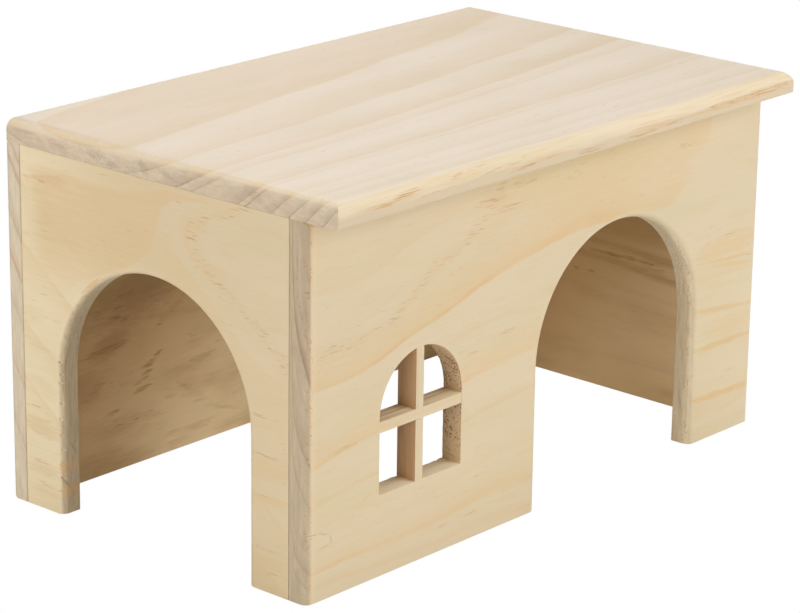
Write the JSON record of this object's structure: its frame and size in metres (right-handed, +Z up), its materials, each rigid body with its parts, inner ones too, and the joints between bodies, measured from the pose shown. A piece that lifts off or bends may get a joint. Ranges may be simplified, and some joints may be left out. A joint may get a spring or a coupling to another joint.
{
  "type": "small animal house",
  "caption": "Flat-roofed wooden house for a small animal, with round-topped doorways in the front and the left end, an arched window with crossed bars and an open bottom.",
  "frame": {"origin": "floor level, under the middle of the roof board, which is the widest piece", "axes": "+Z up, +X along the length towards the end with no doorway, and the front with its doorway, window and eave faces -Y"},
  "size_m": [0.18, 0.115, 0.102],
  "materials": {
    "wall_pine": "bare sanded pine, matt",
    "roof_pine": "bare sanded pine, matt, a little greyer than the walls",
    "bar_pine": "bare sanded pine strip, matt"
  },
  "bodies": {
    "root": {"front_board": "wall_pine", "back_board": "wall_pine", "left_end_board": "wall_pine", "right_end_board": "wall_pine", "roof_board": "roof_pine", "window_upright_bar": "bar_pine", "window_cross_bar": "bar_pine"}
  },
  "joints": []
}
